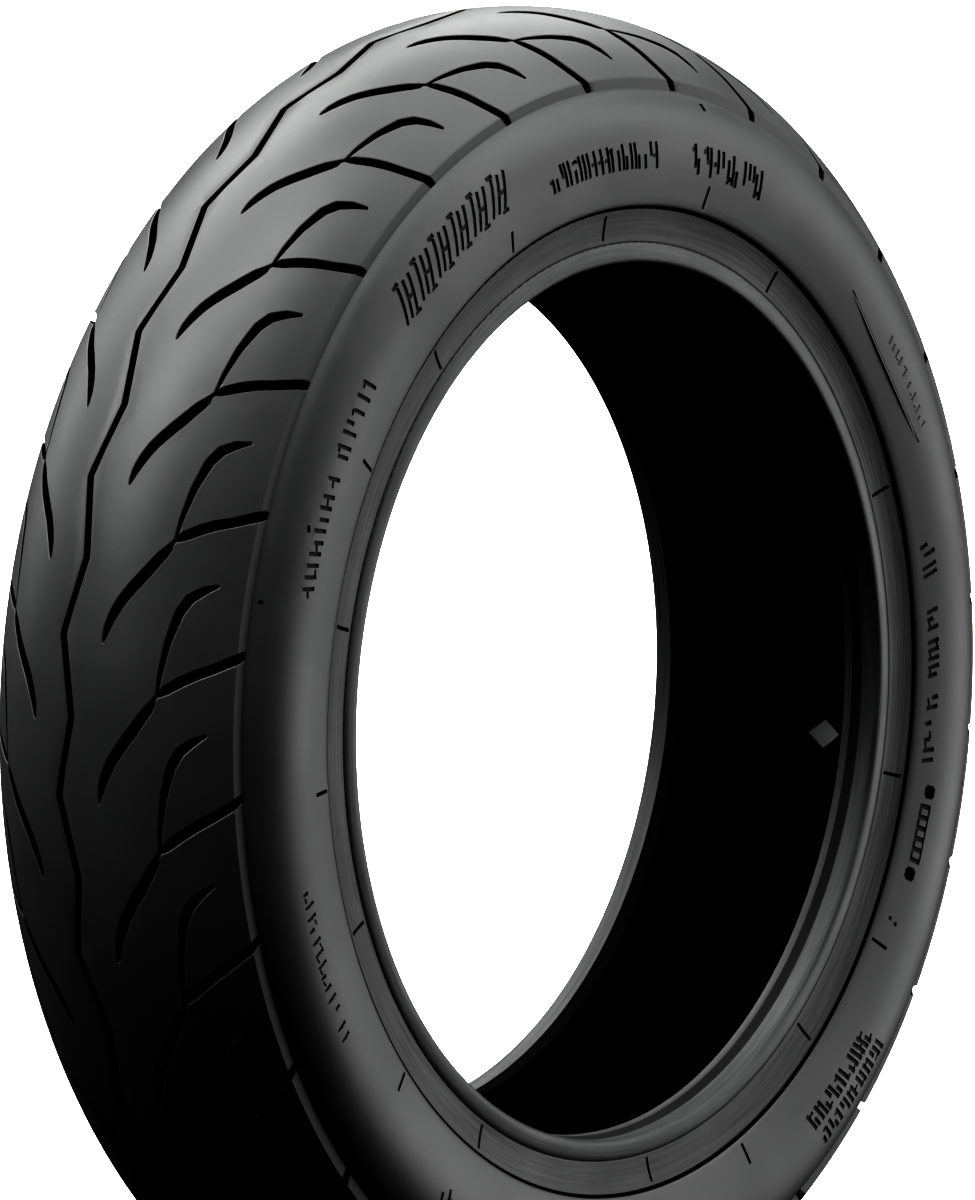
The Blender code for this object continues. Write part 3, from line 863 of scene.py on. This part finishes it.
# Dark colour, light colour, roughness, grain, specular, streaked
LOOKS = {
    "tread_rubber": ((0.035, 0.036, 0.0355), (0.046, 0.047, 0.0465), 0.50, 0.45, 0.5, False),
    "sidewall_rubber": ((0.037, 0.038, 0.0375), (0.047, 0.048, 0.0475), 0.50, 0.40, 0.5, False),
    "rib_rubber": ((0.038, 0.039, 0.0385), (0.050, 0.051, 0.0505), 0.55, 0.40, 0.4, False),
    "cushion_rubber": ((0.010, 0.010, 0.0105), (0.036, 0.037, 0.037), 0.52, 0.40, 0.42, True),
    "chafer_rubber": ((0.028, 0.029, 0.029), (0.054, 0.055, 0.055), 0.52, 0.40, 0.5, True),
    # Painted shade, near-black: the deep faces of grooves, and the boxes and deep marks given slot 1
    "groove_rubber": ((0.0015, 0.0015, 0.0016), (0.003, 0.003, 0.003), 0.80, 0.20, 0.05, False),
    # Painted shade, dark grey: deep marks, the bead line and the near bore, given slot 2
    "mark_rubber": ((0.005, 0.005, 0.005), (0.014, 0.014, 0.014), 0.65, 0.30, 0.25, False),
    # The liner's own black rubber, painted far darker than the outside rubber as painted shade inside the
    # tyre
    "liner_rubber": ((0.002, 0.002, 0.0022), (0.004, 0.004, 0.0045), 0.60, 0.25, 0.1, False),
    "label_film": ((0.75, 0.75, 0.76), (0.88, 0.88, 0.89), 0.70, 0.20, 0.3, False),
    "base_rubber": ((0.040, 0.038, 0.036), (0.052, 0.049, 0.047), 0.70, 0.40, 0.5, False),
    "filler_rubber": ((0.050, 0.048, 0.046), (0.068, 0.066, 0.062), 0.65, 0.40, 0.5, False),
    "ply_cord": ((0.22, 0.18, 0.13), (0.34, 0.29, 0.22), 0.80, 0.70, 0.3, True),
    "wrap_cloth": ((0.34, 0.30, 0.23), (0.46, 0.42, 0.33), 0.90, 0.70, 0.2, True),
    "bead_steel": ((0.50, 0.38, 0.22), (0.66, 0.52, 0.34), 0.32, 0.30, 0.5, True),
}
looks = {name: rubber(name + "_look", *values) for name, values in LOOKS.items()}
looks["bead_steel"].node_tree.nodes["Principled BSDF"].inputs["Metallic"].default_value = 1.0

# Pieces kept as they come, which are all inside the rubber: the start of the name, and the look.
HIDDEN_LOOKS = {
    "tread_base": "base_rubber", "carcass_ply_outer": "ply_cord", "carcass_ply_inner": "ply_cord",
    "bead_filler": "filler_rubber", "bead_wrap": "wrap_cloth", "bead_core": "bead_steel",
}
for obj in list(bpy.data.objects):
    for start, look in HIDDEN_LOOKS.items():
        if obj.type == "MESH" and obj.name.startswith(start):
            obj.data.materials.clear()
            obj.data.materials.append(looks[look])

# ---- The pieces ------------------------------------------------------------------------------------------

# From one repeat of the tread: piece, replaced node, limits along the section, thickness, look, slot
TREAD_PIECES = (
    ("tread_rubber", "tread_cap", -RIB_START, RIB_START, "tread", "tread_rubber", "tread_rubber"),
    ("shoulder_rib_left", "shoulder_wing_left", RIB_START, math.inf, "rib", "rib_rubber", "sidewall_rubber"),
    ("shoulder_rib_right", "shoulder_wing_right", -math.inf, -RIB_START, "rib", "rib_rubber",
     "sidewall_rubber"),
)
tile_points, tile_faces = tread_tile()
tile_depth = tread_depth(tile_points)
for piece_name, node_name, low, high, layer, look, slot in TREAD_PIECES:
    used, faces = part_of(tile_points, tile_faces, low, high)
    points, every_face = repeat_round(tile_points[used], faces)
    depth = np.tile(tile_depth[used], PITCHES)
    # Faces deep in a groove take slot 1, the near-black painted shade of the groove.
    slots = (depth[every_face].mean(axis=1) > GROOVE_SHADE_DEPTH).astype(int)
    materials = [looks[look], looks["groove_rubber"]]
    thickness = SKIN_THICKNESS[layer]
    piece = skin_piece(piece_name, points, depth, every_face, slots, thickness, materials, pitch_turn)
    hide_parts(node_name)

# For each side: piece, replaced node, limits along the section, thickness, look, slot, marks, box of painted
# shade
TURNED_PIECES = (
    ("sidewall_skin_", "sidewall_", RIB_END, SIDEWALL_END, "sidewall", "sidewall_rubber", "sidewall_rubber",
     sidewall_marks(), RIM_GROOVE_SHADE),
    ("rim_cushion_skin_", "rim_cushion_", SIDEWALL_END, CUSHION_END, "cushion", "cushion_rubber",
     "sidewall_rubber", ticks(INNER_TICK, INNER_TICKS), RIM_GROOVE_SHADE),
    ("chafer_skin_", "chafer_", CUSHION_END, CHAFER_END, "chafer", "chafer_rubber", "chafer_rubber",
     (), BEAD_LINE_SHADE),
)
# Each side also gets a box of painted shade in its bore.
for side_name, sign, bore_shade in (("left", 1, LEFT_BORE_SHADE), ("right", -1, RIGHT_BORE_SHADE)):
    for piece_name, node_name, low, high, layer, look, slot, marks, painted_shade_box in TURNED_PIECES:
        # Slots 1 and 2 are the near-black and the dark grey painted shade.
        materials = [looks[look], looks["groove_rubber"], looks["mark_rubber"]]
        thickness = SKIN_THICKNESS[layer]
        piece = turned_skin(
            piece_name + side_name, low, high, sign, thickness, materials, marks, [painted_shade_box, bore_shade]
        )
        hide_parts(node_name + side_name)

liner = turned_mesh("air_liner", liner_section(), looks["liner_rubber"])
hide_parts("inner_liner")
label = mesh_object("label_diamond", *label_mesh(), INSIDE_SHARP_DEGREES, [looks["label_film"]])
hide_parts("liner_label")

# ---- Studio -----------------------------------------------------------------------------------------------

# Metres from here on.
FLOOR_GAP = 0.001
FLOOR_HEIGHT = -OUTER_RADIUS * MM - FLOOR_GAP
FLOOR_RADIUS = 7.0
COVE_RADIUS = 2.5
COVE_HEIGHT = 5.0
FLOOR_RINGS = (0.02, 1.0, 3.0, FLOOR_RADIUS - COVE_RADIUS)
COVE_STEPS = 16
FLOOR_ROUND = 96
FLOOR_GLOW = 1.0
CAMERA_PLACE = (-1.6074, -1.3523, 0.7966)
CAMERA_DEGREES = (69.666, 11.518, -54.079)
CAMERA_LENS = 194.4  # millimetres, over a sensor of 36 mm

camera_data = bpy.data.cameras.new("camera")
camera_data.lens = CAMERA_LENS
camera_data.sensor_width = 36.0
camera_data.clip_end = 50.0
camera = bpy.data.objects.new("camera", camera_data)
camera.location = CAMERA_PLACE
camera.rotation_euler = [math.radians(a) for a in CAMERA_DEGREES]
bpy.context.scene.collection.objects.link(camera)
bpy.context.scene.camera = camera


def cove_mesh():
    """A round floor that curves up into a wall."""
    section = [(radius, 0.0) for radius in FLOOR_RINGS]
    for i in range(1, COVE_STEPS + 1):
        turn = math.pi / 2 * i / COVE_STEPS
        section.append((
            FLOOR_RADIUS - COVE_RADIUS + COVE_RADIUS * math.sin(turn),
            COVE_RADIUS * (1 - math.cos(turn)),
        ))
    section.append((FLOOR_RADIUS, COVE_HEIGHT))
    count = FLOOR_ROUND
    coords = [
        (r * math.cos(math.tau * i / count), r * math.sin(math.tau * i / count), FLOOR_HEIGHT + z)
        for i in range(count)
        for r, z in section
    ]
    n = len(section)
    faces = [
        (i * n + k, i * n + k + 1, (i + 1) % count * n + k + 1, (i + 1) % count * n + k)
        for i in range(count)
        for k in range(n - 1)
    ]
    faces.append(tuple(i * n for i in range(count)))
    return coords, [face[::-1] for face in faces]


floor_mesh = bpy.data.meshes.new("studio_floor")
floor_coords, floor_faces = cove_mesh()
floor_mesh.from_pydata(floor_coords, [], floor_faces)
floor_mesh.shade_smooth()
floor_material, _, _, floor_shader = new_material("studio_floor_look", (0.92, 0.92, 0.92), 0.9)
floor_shader.inputs["Emission Color"].default_value = (1.0, 1.0, 1.0, 1.0)
floor_shader.inputs["Emission Strength"].default_value = FLOOR_GLOW
floor_mesh.materials.append(floor_material)
floor = bpy.data.objects.new("studio_floor", floor_mesh)
bpy.context.scene.collection.objects.link(floor)
floor.visible_diffuse = False
floor.visible_glossy = False
floor.visible_shadow = False

LIGHT_DISTANCE = 2.4
LIGHT_SIZE = 1.3
LIGHTS = [  # name, azimuth, elevation, watts
    ("softbox_top", 0, 80, 57.1),
    ("softbox_back_left_high", -120, 60, 54.8),
    ("softbox_back", 180, 25, 18.2),
    ("softbox_back_right", 150, 50, 35.9),
    ("softbox_right_back", 110, 30, 22.6),
    ("softbox_right_high", 60, 45, 23.3),
    ("softbox_front_right", 45, 20, 29.4),
    ("softbox_front_low", 45, -15, 11.6),
    ("softbox_right", 60, 0, 9.8),
    ("softbox_low", 60, -30, 14.5),
]


def softbox(name, azimuth, elevation, watts):
    """A square light aimed at the tyre. Azimuth 0 is straight in front of the right sidewall."""
    a, e = math.radians(azimuth), math.radians(elevation)
    way = Vector((math.sin(a) * math.cos(e), -math.cos(a) * math.cos(e), math.sin(e)))
    data = bpy.data.lights.new(name, "AREA")
    data.shape = "SQUARE"
    data.size = LIGHT_SIZE
    data.energy = watts
    light = bpy.data.objects.new(name, data)
    light.location = way * LIGHT_DISTANCE
    light.rotation_euler = way.to_track_quat("Z", "Y").to_euler()
    bpy.context.scene.collection.objects.link(light)


for settings in LIGHTS:
    softbox(*settings)

world = bpy.data.worlds.new("studio_world")
world.use_nodes = True
world.node_tree.nodes["Background"].inputs["Color"].default_value = (1.0, 1.0, 1.0, 1.0)
world.node_tree.nodes["Background"].inputs["Strength"].default_value = 0.0
bpy.context.scene.world = world
bpy.context.scene.view_settings.view_transform = "Standard"
bpy.context.scene.view_settings.look = "Very High Contrast"
bpy.context.scene.view_settings.gamma = 0.8
